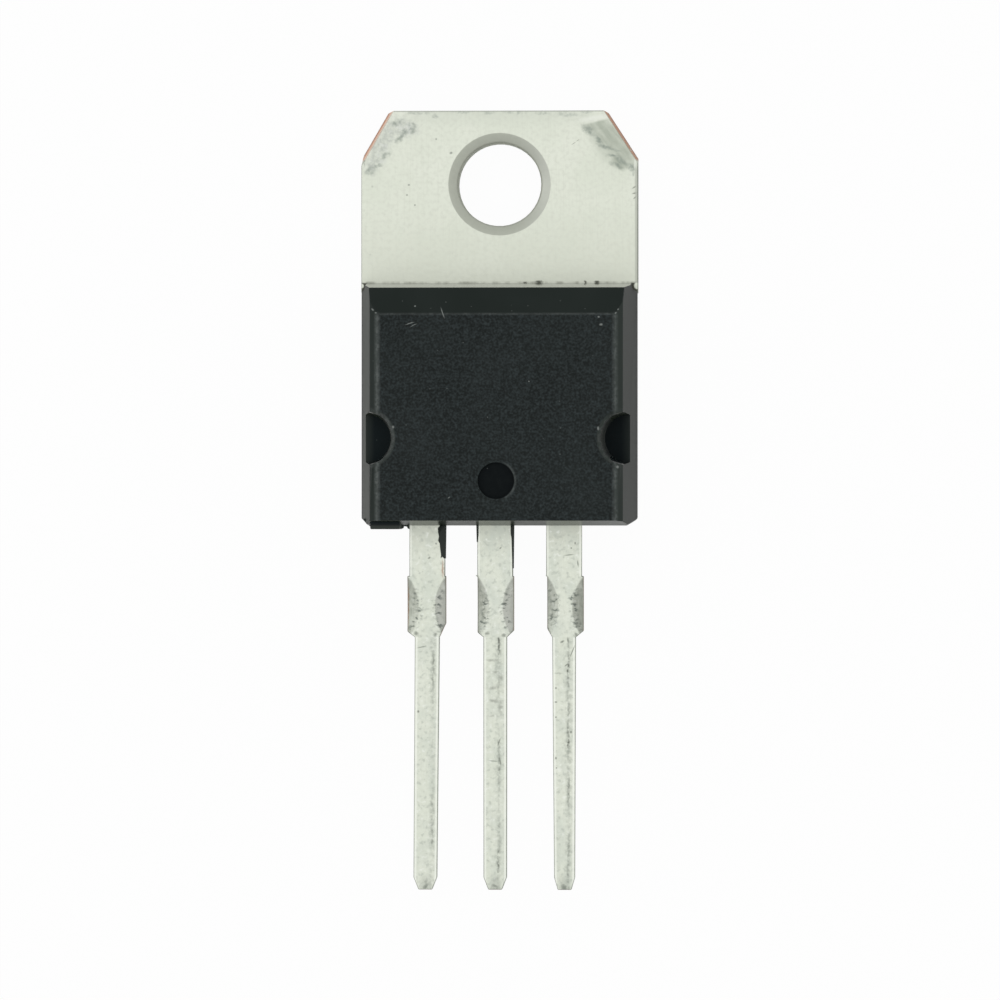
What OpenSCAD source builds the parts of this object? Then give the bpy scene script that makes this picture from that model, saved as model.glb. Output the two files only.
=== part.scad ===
// A three-lead voltage regulator in a flat moulded package with a screw tab.
// It lies on its back: X runs across it, Y runs up towards the tab's end, Z comes out of the front.
// The origin is the middle of the screw hole, on the back face. All sizes are in millimetres.

/* [Tab] */
// Width of the heavy strip
tab_w = 10.16; // [9.6:0.02:10.8]
// Thickness of the heavy strip
tab_t = 1.27; // [1.1:0.01:1.4]
// From the screw hole's middle to the tab's end
tab_end = 2.7; // [2.4:0.05:3.2]
// From the screw hole's middle to the moulding
tab_to_body = 3.62; // [3.2:0.01:4.2]
// Width of the left and the right sheared corner
corner_w = [0.93, 1.11]; // [0.6:0.05:1.5]
// Length of the left and the right sheared corner
corner_len = [1.6, 1.71]; // [1.0:0.01:2.2]
// Lean of the left and the right shear, in degrees: the cuts slope inwards to the front
corner_lean = [9, 4.5]; // [0:0.5:12]
// Diameter of the screw hole
hole_d = 3.06; // [2.8:0.02:3.3]
// Width of the coined ring round the hole's mouth
mouth_ring = 0.35; // [0.1:0.05:0.5]
// Depth of the coined ring
mouth_depth = 0.1; // [0.05:0.01:0.5]
// How far the strip keeps its full width under the moulding
ear_len = 0.35; // [0.15:0.01:0.5]

/* [Die pad] */
// Width of the pad's bare back
pad_w = 8.2; // [7.4:0.1:8.6]
// From the pad's end to the moulding's lower end
pad_cover = 1.52; // [1.4:0.02:1.8]
// How far the pad's front stands out past its bare back, so that it locks in the moulding
lock_step = 0.25; // [0.1:0.05:0.4]
// Height of the lock step above the back face
lock_z = 0.45; // [0.3:0.05:0.7]
// Cut at the pad's two lower corners
pad_corner = 0.7; // [0.3:0.1:1.2]
// From the moulding's upper end to the lock groove
groove_from_end = 0.85; // [0.6:0.05:1.2]
// Depth of the lock groove
groove_depth = 0.16; // [0.1:0.02:0.3]

/* [Moulding] */
// Thickness of the whole package
body_t = 4.57; // [4.2:0.01:4.8]
// Length of the moulding
body_len = 8.9; // [8.6:0.01:9.4]
// How far the moulding's sides stand in from the tab's
body_inset = 0.01; // [0:0.01:0.05]
// Draft of the side walls, in degrees
side_draft = 9; // [4:0.5:12]
// Draft of the walls' lower part, towards the back, in degrees
back_draft = 2; // [1:0.5:5]
// Draft of the wall that meets the tab, in degrees
top_draft = 5.5; // [3:0.5:8]
// Draft of the wall that the leads come out of, in degrees
end_draft = 5; // [3:0.5:8]
// Width of the bevel along each side of the front
bevel_w = 0.31; // [0.15:0.01:0.5]
// Height of that bevel
bevel_h = 0.28; // [0.15:0.01:0.5]
// Length of the slope at the upper end of the front
slope_len = 0.97; // [0.5:0.01:1.4]
// Height of that slope
slope_h = 0.57; // [0.3:0.01:0.8]
// Width of the cut at each lower corner
body_cut_w = 0.37; // [0.2:0.01:0.6]
// Length of the cut at each lower corner
body_cut_len = 0.25; // [0.1:0.01:0.5]
// Radius of the small round gap that shows each ear of the strip
ear_gap_r = 0.22; // [0.1:0.01:0.35]

/* [Marks of the mould] */
// Radius of each side pocket at its floor
pocket_r = 0.86; // [0.6:0.01:1.2]
// Width of the bevel round each pocket's mouth
pocket_rim = 0.13; // [0.05:0.01:0.2]
// Draft of the pockets' walls, in degrees
pocket_draft = 4.5; // [2:0.5:9]
// How far inside the moulding's side each pocket's middle is
pocket_in = 0.31; // [0.1:0.01:0.4]
// From the moulding's lower end to the pockets' middle
pocket_from_end = 3.17; // [2.9:0.01:3.6]
// Depth of the pockets below the front
pocket_depth = 1.72; // [1.0:0.02:1.9]
// Diameter of the ejector mark
mark_d = 1.33; // [1.0:0.01:1.6]
// Depth of the ejector mark
mark_depth = 0.12; // [0.05:0.01:0.3]
// From the moulding's lower end to the ejector mark's middle
mark_from_end = 1.63; // [1.3:0.01:2.2]
// How far the flash stands out
flash_out = 0.13; // [0.05:0.01:0.2]
// Length of the film of flash on the first lead
film_len = 1.2; // [0.5:0.05:1.6]
// Width of that film
film_w = 0.26; // [0.1:0.01:0.35]
// Thickness of that film
film_t = 0.04; // [0.02:0.01:0.08]
// Width of the broken-off gate
gate_w = 1.07; // [0.8:0.01:1.2]
// From the moulding's side to the gate
gate_from_side = 0.5; // [0.48:0.01:0.6]
// How far below the front the gate's stub begins
gate_step = 0.35; // [0.2:0.01:0.6]

/* [Leads] */
// Thickness of the thin strip
lead_t = 0.39; // [0.35:0.01:0.5]
// Height of the leads' back above the package's back
lead_z = 2.47; // [2.3:0.01:2.6]
// Distance between leads
lead_pitch = 2.54; // [2.4:0.02:2.6]
// How far the group of leads lies to one side
lead_shift = -0.105; // [-0.15:0.005:0.15]
// How far each lead stands from its place in the row
lead_off = [0.07, 0.01, -0.02]; // [-0.1:0.01:0.1]
// From the moulding to the leads' tips
lead_len = 13.27; // [11:0.01:14.5]
// Width of a lead where it leaves the moulding
shank_w = 1.3; // [1.1:0.02:1.4]
// From the moulding to the cut-off dam bars
dam_from_body = 1.84; // [1.4:0.02:2.4]
// Length of the stubs of the dam bars
dam_len = 2.06; // [1.6:0.02:2.4]
// Width across the stubs on each lead
dam_w = [1.41, 1.33, 1.33]; // [1.2:0.01:1.5]
// How far the stubs on each lead lie to one side
dam_shift = [-0.02, 0.02, 0.05]; // [-0.06:0.01:0.06]
// How much shorter each lead's left stub is
left_stub_rise = [0.03, 0, 0.14]; // [0:0.01:0.4]
// How much shorter each lead's right stub is
right_stub_rise = [0.34, 0.07, 0.06]; // [0:0.01:0.4]
// Length of the slanted shoulder under the stubs
shoulder_len = 0.17; // [0.05:0.01:0.4]
// Width of each lead below its shoulder
lead_w = [0.9, 0.86, 0.86]; // [0.75:0.01:0.95]
// How much each lead narrows on its way to the tip
lead_narrow = [0.04, 0.01, 0.1]; // [0:0.01:0.1]
// How far each lead's tip has drifted to one side
tip_drift = [-0.07, 0, 0.02]; // [-0.1:0.01:0.1]
// Width of a lead's tip
tip_w = 0.5; // [0.3:0.01:0.7]
// Length of the taper at the tip
tip_len = 0.45; // [0.2:0.01:0.8]
// Width of the coined hollow at each edge of the stubs
coin_w = 0.41; // [0.2:0.01:0.5]
// How far the hollows' deepest place lies below the stubs' middle
coin_drop = 0.12; // [0:0.01:0.25]
// Radius of the punch that coins the hollows
coin_punch_r = 4; // [3:0.1:6]
// Inside radius of the bends in the middle lead's neck
bend_r = 0.2; // [0.1:0.02:0.3]
// Angle of the middle lead's neck, in degrees
bend_angle = 70; // [55:1:80]

/* [Inside] */
// Width of the landing at the end of each outer lead
landing_w = 2.1; // [1.6:0.1:2.3]
// Length of that landing
landing_len = 1.45; // [1.2:0.05:1.7]
// Depth of the landing's shoulder inside the moulding
landing_cover = 0.45; // [0.3:0.05:0.6]
// Width of the silicon die
die_w = 3.1; // [2.6:0.1:3.6]
// Length of the silicon die
die_len = 3.4; // [3.0:0.1:3.8]
// Thickness of the silicon die
die_t = 0.3; // [0.2:0.02:0.4]
// From the pad's end to the die
die_from_pad_end = 1.75; // [1.6:0.05:2.0]
// Thickness of the solder under the die
solder_t = 0.06; // [0.03:0.01:0.1]
// How far the solder runs out past the die
solder_out = 0.15; // [0.05:0.01:0.3]
// Diameter of the four heavy wires
power_wire_d = 0.3; // [0.25:0.01:0.38]
// Diameter of the thin wire
adjust_wire_d = 0.15; // [0.1:0.01:0.2]
// Height of a wire's loop above the straight line between its ends
loop_rise = 0.5; // [0.35:0.05:0.7]

/* [Hidden] */
$fn = 72;

// Places along Y
body_top = -tab_to_body;
body_bottom = body_top - body_len;
pad_end = body_bottom + pad_cover;
dam_top = body_bottom - dam_from_body;
dam_bottom = dam_top - dam_len;
shoulder_bottom = dam_bottom - shoulder_len;
tip = body_bottom - lead_len;
die_bottom = pad_end + die_from_pad_end;
landing_bottom = body_bottom + landing_cover;
landing_top = landing_bottom + landing_len;

// Heights
lead_front = lead_z + lead_t;
die_z = tab_t + solder_t;
die_front = die_z + die_t;
pocket_z = body_t - pocket_depth;

// Between the middles of the neck's two bends, measured across the strip
bend_pair = 2 * bend_r + lead_t;

// Widths of the moulding at the heights where its walls turn
body_half = tab_w / 2 - body_inset;
back_half = body_half - tab_t * tan(back_draft);
bevel_z = body_t - bevel_h;
wall_half = body_half - (bevel_z - tab_t) * tan(side_draft);
front_half = wall_half - bevel_w;

// The gate's side nearer to the corner
gate_left = gate_from_side - body_half;

// The wall over the tab, and the wall over the leads
slope_z = body_t - slope_h;
slope_top = body_top - (slope_z - tab_t) * tan(top_draft);
front_bottom = body_bottom + (body_t - lead_z) * tan(end_draft);
back_bottom = body_bottom + lead_z * tan(back_draft);

// Places of the bonds: five in a row on the die, two on the pad below it, and the rest on the
// outer leads' landings
bond_inset = 0.45;
bond_step = (die_w - 2 * bond_inset) / 4;
die_bond_y = die_bottom + bond_inset;
landing_bond_y = landing_top - bond_inset;
pad_bond_y = (die_bottom - solder_out + pad_end) / 2;

function lead_x(i) = lead_shift + (i - 1) * lead_pitch + lead_off[i];
function die_bond_x(k) = (k - 2) * bond_step;

// A cut runs this far past the surface that it opens
over = 1;

// A flat piece of the thin strip, in the leads' plane
module thin_strip(points) {
    translate([0, 0, lead_z])
        linear_extrude(height = lead_t)
            polygon(points);
}

// Coined hollows at both edges of a lead's stubs: two shallow caps of a round punch
module coined_hollows(i) {
    middle = (dam_top + dam_bottom) / 2 - coin_drop;
    ring_r = (pow(dam_top - middle, 2) + pow(coin_w, 2)) / (2 * coin_w);
    lift = sqrt(pow(coin_punch_r, 2) - pow(ring_r, 2));
    reach = dam_w[i] / 2 - coin_w + ring_r;
    for (side = [-1, 1])
        translate([dam_shift[i] + side * reach, middle, lead_front + lift])
            sphere(r = coin_punch_r, $fn = 144);
}

// One lead from a place inside the moulding to its tip, on its own centre line
module lead_blade(i, top) {
    shank = shank_w / 2;
    left = dam_shift[i] - dam_w[i] / 2;
    right = dam_shift[i] + dam_w[i] / 2;
    blade = lead_w[i] / 2;
    end = tip_drift[i];
    end_half = blade - lead_narrow[i] / 2;
    point = tip_w / 2;
    translate([lead_x(i), 0, 0])
        difference() {
            thin_strip([
                [-shank, top], [shank, top], [shank, dam_top],
                [right, dam_top], [right, dam_bottom + right_stub_rise[i]], [blade, shoulder_bottom],
                [end + end_half, tip + tip_len], [end + point, tip],
                [end - point, tip], [end - end_half, tip + tip_len],
                [-blade, shoulder_bottom], [left, dam_bottom + left_stub_rise[i]],
                [left, dam_top], [-shank, dam_top]
            ]);
            coined_hollows(i);
        }
}

// An outer lead: the blade and the wider landing that takes the bond wires
module outer_lead(i) {
    union() {
        lead_blade(i, landing_bottom + lead_t);
        translate([lead_x(i) - landing_w / 2, landing_bottom, lead_z])
            cube([landing_w, landing_len, lead_t]);
    }
}

// Points along an arc round a middle, from one angle to another
function arc(middle, r, from, to, steps = 10) =
    [for (k = [0:steps]) let (at = from + (to - from) * k / steps) middle + r * [cos(at), sin(at)]];

// The neck that lifts the middle lead from the pad's plane to the leads' plane, in two bends
module neck() {
    straight = (lead_z - tab_t - 2 * bend_r + bend_pair * cos(bend_angle)) / sin(bend_angle);
    flat_end = pad_end - bend_pair * sin(bend_angle) - straight * cos(bend_angle);
    root = pad_end + lock_step + pad_corner;
    low = [pad_end, tab_t + bend_r];
    high = [flat_end, lead_z - bend_r];
    translate([lead_x(1) - shank_w / 2, 0, 0])
        rotate([90, 0, 90])
            linear_extrude(height = shank_w)
                polygon(concat(
                    [[root, tab_t]],
                    arc(low, bend_r, -90, -90 - bend_angle),
                    arc(high, bend_r + lead_t, 90 - bend_angle, 90),
                    [[body_bottom, lead_front], [body_bottom, lead_z]],
                    arc(high, bend_r, 90, 90 - bend_angle),
                    arc(low, bend_r + lead_t, -90 - bend_angle, -90),
                    [[root, tab_t - lead_t]]
                ));
    lead_blade(1, (flat_end + body_bottom) / 2);
}

// The tab's outline before its corners are sheared off, with its ears under the moulding
module tab_outline() {
    translate([-tab_w / 2, body_top - ear_len])
        square([tab_w, tab_end - body_top + ear_len]);
}

// What the shears take off at the tab's end: each cut keeps its full size at the back only
module sheared_corners() {
    for (i = [0, 1]) {
        size = corner_len[i] + over;
        mirror([i, 0, 0])
            translate([-tab_w / 2, tab_end - corner_len[i], 0])
                rotate([0, 0, atan2(corner_len[i], corner_w[i])])
                    rotate([corner_lean[i], 0, 0])
                        translate([-over, 0, -over])
                            cube([size + corner_w[i] + over, size, tab_t + 2 * over]);
    }
}

// The pad's outline, with both lower corners cut
module pad_outline(half, end) {
    polygon([
        [-half, body_top], [half, body_top],
        [half, end + pad_corner], [half - pad_corner, end],
        [pad_corner - half, end], [-half, end + pad_corner]
    ]);
}

// The screw hole, with its coined mouth at the front
module screw_hole() {
    translate([0, 0, -over])
        cylinder(d = hole_d, h = tab_t + 2 * over);
    translate([0, 0, tab_t - mouth_depth])
        cylinder(r1 = hole_d / 2, r2 = hole_d / 2 + 2 * mouth_ring, h = 2 * mouth_depth);
}

// The groove across the pad that the moulding grips
module lock_groove() {
    translate([-tab_w / 2 - over, body_top - groove_from_end, tab_t])
        rotate([45, 0, 0])
            translate([0, -groove_depth / sqrt(2), -groove_depth / sqrt(2)])
                cube([tab_w + 2 * over, groove_depth * sqrt(2), groove_depth * sqrt(2)]);
}

module heat_sink_frame() {
    color([0.82, 0.84, 0.78])
        union() {
            difference() {
                union() {
                    linear_extrude(height = tab_t)
                        tab_outline();
                    linear_extrude(height = tab_t)
                        pad_outline(pad_w / 2, pad_end + lock_step);
                    translate([0, 0, lock_z])
                        linear_extrude(height = tab_t - lock_z)
                            pad_outline(pad_w / 2 + lock_step, pad_end);
                }
                sheared_corners();
                screw_hole();
                lock_groove();
            }
            neck();
        }
}

module adjust_lead() {
    color([0.82, 0.84, 0.78])
        outer_lead(0);
}

module input_lead() {
    color([0.82, 0.84, 0.78])
        outer_lead(2);
}

module die_attach_solder() {
    color([0.6, 0.61, 0.62])
        translate([-die_w / 2 - solder_out, die_bottom - solder_out, tab_t])
            cube([die_w + 2 * solder_out, die_len + 2 * solder_out, solder_t]);
}

module silicon_die() {
    color([0.3, 0.32, 0.36])
        translate([-die_w / 2, die_bottom, die_z])
            cube([die_w, die_len, die_t]);
}

// A wire between two flat bonds: each foot lies on its surface, and an arc joins them
module bond_wire(from, to, d) {
    run = norm([to.x - from.x, to.y - from.y]);
    climb = to.z - from.z;
    heading = atan2(to.y - from.y, to.x - from.x);
    foot = 2 * d;
    lift = 0.35 * d;
    span = run - foot;
    chord = norm([span, climb]);
    tilt = atan2(climb, span);
    arc_r = (pow(chord / 2, 2) + pow(loop_rise, 2)) / (2 * loop_rise);
    half_turn = asin(chord / 2 / arc_r);
    drop = arc_r - loop_rise;
    color([0.85, 0.86, 0.88])
        translate(from)
            rotate([0, 0, heading])
                difference() {
                    union() {
                        for (end = [[0, 0], [run, climb]])
                            translate([end.x - foot / 2, 0, end.y + lift])
                                rotate([0, 90, 0])
                                    cylinder(d = d, h = foot);
                        translate([run / 2 + drop * sin(tilt), 0, climb / 2 + lift - drop * cos(tilt)])
                            rotate([90, 0, 0])
                                rotate([0, 0, tilt + 90 - half_turn])
                                    rotate_extrude(angle = 2 * half_turn)
                                        translate([arc_r, 0])
                                            circle(d = d);
                    }
                    for (end = [[0, 0], [run, climb]])
                        translate([end.x - foot, -d, end.y - 2 * d])
                            cube([2 * foot, 2 * d, 2 * d]);
                }
}

module adjust_bond_wire() {
    bond_wire([die_bond_x(0), die_bond_y, die_front],
        [lead_x(0), landing_bond_y, lead_front], adjust_wire_d);
}

// The output wires run down from the die to the pad
module output_bond_wire(i) {
    bond_wire([die_bond_x(i), die_bond_y, die_front], [die_bond_x(i), pad_bond_y, tab_t],
        power_wire_d);
}

module output_bond_wire_1() {
    output_bond_wire(1);
}

module output_bond_wire_2() {
    output_bond_wire(2);
}

// The input wires run side by side from the die to the input lead
module input_bond_wire(i) {
    bond_wire([die_bond_x(i + 2), die_bond_y, die_front],
        [lead_x(2) + (i - 1.5) * bond_step, landing_bond_y, lead_front], power_wire_d);
}

module input_bond_wire_1() {
    input_bond_wire(1);
}

module input_bond_wire_2() {
    input_bond_wire(2);
}

// The moulding's section across, the same all along: walls with draft and a bevelled front
module section_across() {
    translate([0, body_top + over, 0])
        rotate([90, 0, 0])
            linear_extrude(height = body_len + 2 * over)
                polygon([
                    [-back_half, 0], [back_half, 0], [body_half, tab_t], [wall_half, bevel_z],
                    [front_half, body_t], [-front_half, body_t], [-wall_half, bevel_z],
                    [-body_half, tab_t]
                ]);
}

// The moulding's section along: a steep wall and a slope over the tab, and a drafted lower end
module section_along() {
    translate([-tab_w / 2 - over, 0, 0])
        rotate([90, 0, 90])
            linear_extrude(height = tab_w + 2 * over)
                polygon([
                    [body_top, 0], [body_top, tab_t], [slope_top, slope_z],
                    [slope_top - slope_len, body_t], [front_bottom, body_t],
                    [body_bottom, lead_front], [body_bottom, lead_z], [back_bottom, 0]
                ]);
}

// The moulding's outline from the front, with its lower corners cut
module plan() {
    side = body_half + over;
    corner = body_half - body_cut_w;
    fall = over * body_cut_len / body_cut_w;
    translate([0, 0, -over])
        linear_extrude(height = body_t + 2 * over)
            polygon([
                [-side, body_top + over], [side, body_top + over],
                [side, body_bottom + body_cut_len + fall], [corner, body_bottom],
                [corner, body_bottom - over], [-corner, body_bottom - over],
                [-corner, body_bottom], [-side, body_bottom + body_cut_len + fall]
            ]);
}

// A pocket that a pin of the mould leaves at each side, with a draft of its own
module side_pockets() {
    deep = pocket_depth + over;
    rim_z = pocket_depth - pocket_rim;
    rim_r = pocket_r + rim_z * tan(pocket_draft);
    for (side = [-1, 1])
        translate([side * (body_half - pocket_in), body_bottom + pocket_from_end, pocket_z]) {
            cylinder(r1 = pocket_r, r2 = pocket_r + deep * tan(pocket_draft), h = deep);
            translate([0, 0, rim_z])
                cylinder(r1 = rim_r, r2 = rim_r + 2 * pocket_rim, h = 2 * pocket_rim);
        }
}

module ejector_mark() {
    translate([0, body_bottom + mark_from_end, body_t - mark_depth])
        cylinder(d = mark_d, h = mark_depth + over);
}

// The round gap at each upper corner, which leaves the strip's ear in view
module ear_gaps() {
    for (side = [-1, 1])
        translate([side * body_half, body_top - ear_gap_r / 2, -over])
            cylinder(r = ear_gap_r, h = body_t + 2 * over);
}

// The stub of the gate that the compound came in by, broken off at the lower end
module gate_stub() {
    translate([gate_left, body_bottom - flash_out, lead_z])
        cube([gate_w, 3 * flash_out, body_t - gate_step - lead_z]);
}

// Flash squeezed out in the leads' plane, from the lower corner to the gate
module flash_lip() {
    top = body_bottom + body_cut_len;
    thin_strip([
        [flash_out - body_half, top], [gate_left, body_bottom - flash_out],
        [gate_left + flash_out, body_bottom - flash_out], [gate_left + flash_out, top]
    ]);
}

// A crumb of flash that bridges the gate and the first lead, with a ragged end
module flash_crumb() {
    from = gate_left + gate_w;
    to = lead_x(0) - shank_w / 2;
    low = body_bottom - flash_out;
    thin_strip([
        [from - flash_out, body_bottom + flash_out], [to + film_t, body_bottom + flash_out],
        [to + film_t, low], [to - 0.4 * flash_out, low + 0.1 * flash_out],
        [to - 0.7 * flash_out, body_bottom - 0.3 * flash_out],
        [from + 0.5 * flash_out, body_bottom - 0.2 * flash_out],
        [from + 0.3 * flash_out, low + 0.2 * flash_out], [from - flash_out, low]
    ]);
}

// Flash on top of a lead's edge, and a little past it. Its points are shares of its width inwards
// and of its length down
module flash_film(edge_x, width, length, points) {
    rooted = body_bottom + flash_out;
    inside = [for (p = points) [edge_x - p.x * width, body_bottom - p.y * length]];
    translate([0, 0, lead_z])
        linear_extrude(height = lead_t + film_t)
            polygon(concat(
                [[edge_x + film_t, rooted], [edge_x - width / 2, rooted]],
                inside,
                [[edge_x + film_t / 2, body_bottom - length]]
            ));
}

module flash() {
    edge = shank_w / 2;
    gate_stub();
    flash_lip();
    flash_crumb();
    flash_film(lead_x(0) + edge, film_w, film_len, [
        [0.7, 0], [1, 0.08], [0.93, 0.25], [0.85, 0.33], [0.95, 0.46], [0.73, 0.55], [0.68, 0.68],
        [0.54, 0.9], [0.6, 0.99], [0.38, 0.95], [0.13, 1]
    ]);
    flash_film(lead_x(1) + edge, film_w / 3, 1.3 * film_len, [
        [1, 0], [0.95, 0.2], [0.6, 0.3], [0.4, 0.7], [0.2, 1]
    ]);
    mirror([1, 0, 0])
        flash_film(edge - lead_x(1), film_w / 5, film_len / 2, [[1, 0], [0.8, 0.6], [0.2, 1]]);
}

module embedded_pieces() {
    heat_sink_frame();
    adjust_lead();
    input_lead();
    die_attach_solder();
    silicon_die();
    adjust_bond_wire();
    output_bond_wire_1();
    output_bond_wire_2();
    input_bond_wire_1();
    input_bond_wire_2();
}

module moulded_body() {
    color([0.17, 0.19, 0.18])
        difference() {
            union() {
                intersection() {
                    section_across();
                    section_along();
                    plan();
                }
                flash();
            }
            side_pockets();
            ejector_mark();
            ear_gaps();
            embedded_pieces();
        }
}

heat_sink_frame();
adjust_lead();
input_lead();
moulded_body();
silicon_die();
die_attach_solder();
adjust_bond_wire();
output_bond_wire_1();
output_bond_wire_2();
input_bond_wire_1();
input_bond_wire_2();
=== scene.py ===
# %% [markdown]
# # A three-lead voltage regulator, dressed for its picture
# The real part is a strip of copper with a chip soldered on it, moulded into a block of black
# compound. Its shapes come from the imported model, which is loaded first and never changed.
# This lesson gives them what a drawing lacks: worn edges, plating, mould grain, scuffs and light.

import math
from types import SimpleNamespace

import bmesh
import bpy
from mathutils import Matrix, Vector


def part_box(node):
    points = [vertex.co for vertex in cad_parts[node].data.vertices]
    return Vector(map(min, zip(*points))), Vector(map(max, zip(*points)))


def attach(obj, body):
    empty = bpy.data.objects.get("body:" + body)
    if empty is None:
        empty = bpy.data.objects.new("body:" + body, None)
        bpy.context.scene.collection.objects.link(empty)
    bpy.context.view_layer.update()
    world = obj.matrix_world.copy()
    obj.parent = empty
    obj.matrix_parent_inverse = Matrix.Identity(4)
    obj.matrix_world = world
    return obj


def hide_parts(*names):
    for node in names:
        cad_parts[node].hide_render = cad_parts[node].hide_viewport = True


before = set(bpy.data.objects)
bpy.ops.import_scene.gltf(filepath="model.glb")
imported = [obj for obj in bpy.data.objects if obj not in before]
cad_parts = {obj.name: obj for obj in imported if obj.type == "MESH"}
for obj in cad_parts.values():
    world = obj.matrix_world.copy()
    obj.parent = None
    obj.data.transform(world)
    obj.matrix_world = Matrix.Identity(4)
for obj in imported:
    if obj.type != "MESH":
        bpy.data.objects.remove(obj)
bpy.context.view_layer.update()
MM = 0.001
print("nodes:", sorted(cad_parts))

# %% [markdown]
# ## The camera
# The part lies on its back and is seen from straight above, with a hair of a view from the right:
# the left leads' right edges show, and high places shift to the left. A long lens from 220 mm away
# gives that mild perspective. It is made first, since every later step is judged through it.

# %% Camera
VIEW_CENTRE = Vector((0.018, -11.59, 1.27)) * MM
VIEW_DISTANCE = 220.0 * MM
VIEW_WIDTH = 36.7 * MM
VIEW_LEAN = math.radians(2.3)

lens_data = bpy.data.cameras.new("long_lens")
lens_data.sensor_width = 36.0
lens_data.lens = 36.0 * VIEW_DISTANCE / VIEW_WIDTH
lens_data.clip_start, lens_data.clip_end = 0.01, 5.0
camera = bpy.data.objects.new("camera", lens_data)
bpy.context.scene.collection.objects.link(camera)
towards_view = Vector((math.sin(VIEW_LEAN), 0.0, math.cos(VIEW_LEAN)))
camera.location = VIEW_CENTRE + VIEW_DISTANCE * towards_view
camera.rotation_euler = (0.0, VIEW_LEAN, 0.0)
bpy.context.scene.camera = camera
print("lens, mm:", round(lens_data.lens, 1))

# %% [markdown]
# ## Small helpers for materials
# Colours are picked as sRGB hex values, as in a paint program, and shaders want linear ones.
# put() adds one node, sets its settings, and fills its inputs with values or links. add() does the
# same in the tree that its linked inputs are in, so most steps needn't name a tree at all.

# %% Colour and node helpers
def colour(hex_code):
    """A linear RGBA colour from an sRGB hex code."""
    parts = [int(hex_code[i:i + 2], 16) / 255 for i in (1, 3, 5)]
    linear = [p / 12.92 if p <= 0.04045 else ((p + 0.055) / 1.055) ** 2.4 for p in parts]
    return (*linear, 1.0)


def put(tree, kind, inputs=None, **settings):
    """Adds one node. A value that is another node's socket becomes a link."""
    made = tree.nodes.new(kind)
    for name, value in settings.items():
        setattr(made, name, value)
    for name, value in (inputs or {}).items():
        if isinstance(value, bpy.types.NodeSocket):
            tree.links.new(value, made.inputs[name])
        else:
            made.inputs[name].default_value = value
    return made


def add(kind, inputs, **settings):
    """Adds one node to the tree of its first linked input."""
    linked = [value for value in inputs.values() if isinstance(value, bpy.types.NodeSocket)]
    return put(linked[0].id_data, kind, inputs, **settings)


def new_material(name):
    """An empty node material with its output, and its place on the object in millimetres."""
    material = bpy.data.materials.new(name)
    material.use_nodes = True
    tree = material.node_tree
    tree.nodes.clear()
    out = put(tree, "ShaderNodeOutputMaterial")
    place = put(tree, "ShaderNodeTexCoord").outputs["Object"]
    mm = add("ShaderNodeVectorMath", {0: place, "Scale": 1 / MM}, operation="SCALE").outputs[0]
    return material, tree, out, mm


print("middle grey, linear:", [round(c, 3) for c in colour("#808080")])

# %% [markdown]
# ## The sizes that finishes need
# Patterns follow real edges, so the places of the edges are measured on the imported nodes. Those
# that no box gives, such as the hole's radius, are repeated here with the model's own values. All
# are in millimetres from the middle of the screw hole.

# %% Places measured on the model
frame_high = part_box("heat_sink_frame")[1] / MM
body_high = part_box("moulded_body")[1] / MM
lead_low, lead_high = (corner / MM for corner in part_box("adjust_lead"))
TAB_END = frame_high.y
TAB_FRONT = 1.27
HOLE_R, RING_R = 1.53, 1.88
BODY_TOP = body_high.y
BODY_FRONT = body_high.z
BODY_BOTTOM = -12.52
LEAD_BACK = 2.47
LEAD_TIP = lead_low.y
STUB_TOP, STUB_BOTTOM = -14.36, -16.59
input_low, input_high = (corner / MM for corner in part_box("input_lead"))
LEAD_MIDDLES = ((lead_low.x + lead_high.x) / 2, -0.095, (input_low.x + input_high.x) / 2)
print("leads' middles", [round(c, 3) for c in LEAD_MIDDLES])
print("tab's end", round(TAB_END, 2), "body top", round(BODY_TOP, 2), "front", round(BODY_FRONT, 2))

# %% [markdown]
# ## Sums of patterns
# Every finish is a tone that is painted over again and again, each time only where a mask says so.
# A mask is a sum or a product of simple values, made with Blender's Math node. Short names for
# these keep the recipes readable: times() reads as "and", largest() as "or", minus(1, a) as "not".

# %% Sums of patterns
def combine(operation, *values):
    """Several values put together by one operation of the Math node."""
    result = values[0]
    for value in values[1:]:
        result = add("ShaderNodeMath", {0: result, 1: value}, operation=operation).outputs[0]
    return result


def times(*values):
    """The product, which for masks means where all of them are."""
    return combine("MULTIPLY", *values)


def plus(*values):
    """The sum."""
    return combine("ADD", *values)


def minus(*values):
    """The first value less the others."""
    return combine("SUBTRACT", *values)


def largest(*values):
    """The largest, which for masks means where any of them is."""
    return combine("MAXIMUM", *values)


def absolute(value):
    """The value without its sign."""
    return combine("ABSOLUTE", value, 0.0)


def between(low, high, share):
    """low where the share is 0, high where it is 1, and in between elsewhere."""
    return plus(low, times(share, high - low))


def tint(factor, under, over):
    """One colour over another, as far as factor says."""
    return add("ShaderNodeMix", {0: factor, 6: under, 7: over}, data_type="RGBA").outputs[2]


def paint(tone, hex_code, *shares):
    """Lays a colour over the tone, as far as the product of the shares says."""
    return tint(times(*shares), tone, colour(hex_code))


print("short names for sums: times, plus, minus, largest, absolute and between")

# %% [markdown]
# ## Shapes of patterns
# A mark is where several patterns meet: a band along an edge, an oval at a place, a noise that
# breaks it up. Each of these is a small function that gives 1 inside and 0 outside, so that times()
# and largest() can put them together. All sizes are millimetres on the part itself.

# %% Shapes of patterns
def step(value, start, end):
    """0 up to start and 1 from end on, or the other way round where start is the larger."""
    return add("ShaderNodeMapRange", {0: value, 1: start, 2: end, 3: 0.0, 4: 1.0}).outputs[0]


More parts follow.
